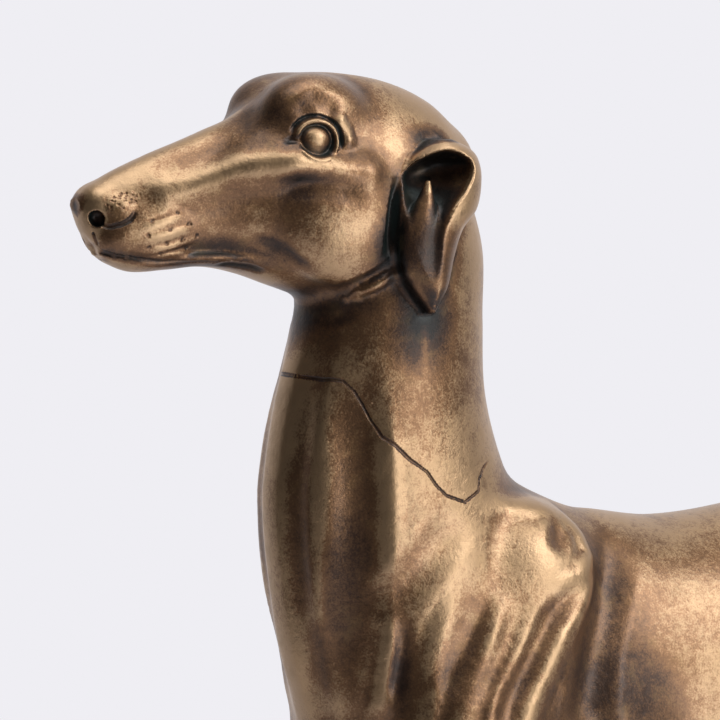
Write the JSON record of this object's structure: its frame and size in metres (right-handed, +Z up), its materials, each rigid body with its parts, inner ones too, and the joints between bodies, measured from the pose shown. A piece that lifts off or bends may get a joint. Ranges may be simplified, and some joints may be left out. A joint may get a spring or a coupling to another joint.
{
  "type": "greyhound statue",
  "caption": "Standing greyhound statue, cast in resin with a bronze finish, head raised and ears folded back, on a low stepped plinth.",
  "frame": {"origin": "centre of the plinth's underside, on the plane it stands on", "axes": "+Z up, the hound looks along -X, its left side is -Y"},
  "size_m": [0.5752, 0.155, 0.5973],
  "materials": {
    "bronzed_resin": "bronze paint over resin, rubbed bright on the raised places and dark in the hollows",
    "plinth_resin": "dark bronze paint over resin, satin"
  },
  "bodies": {
    "root": {"greyhound_casting": "bronzed_resin", "plinth": "plinth_resin"}
  },
  "joints": []
}
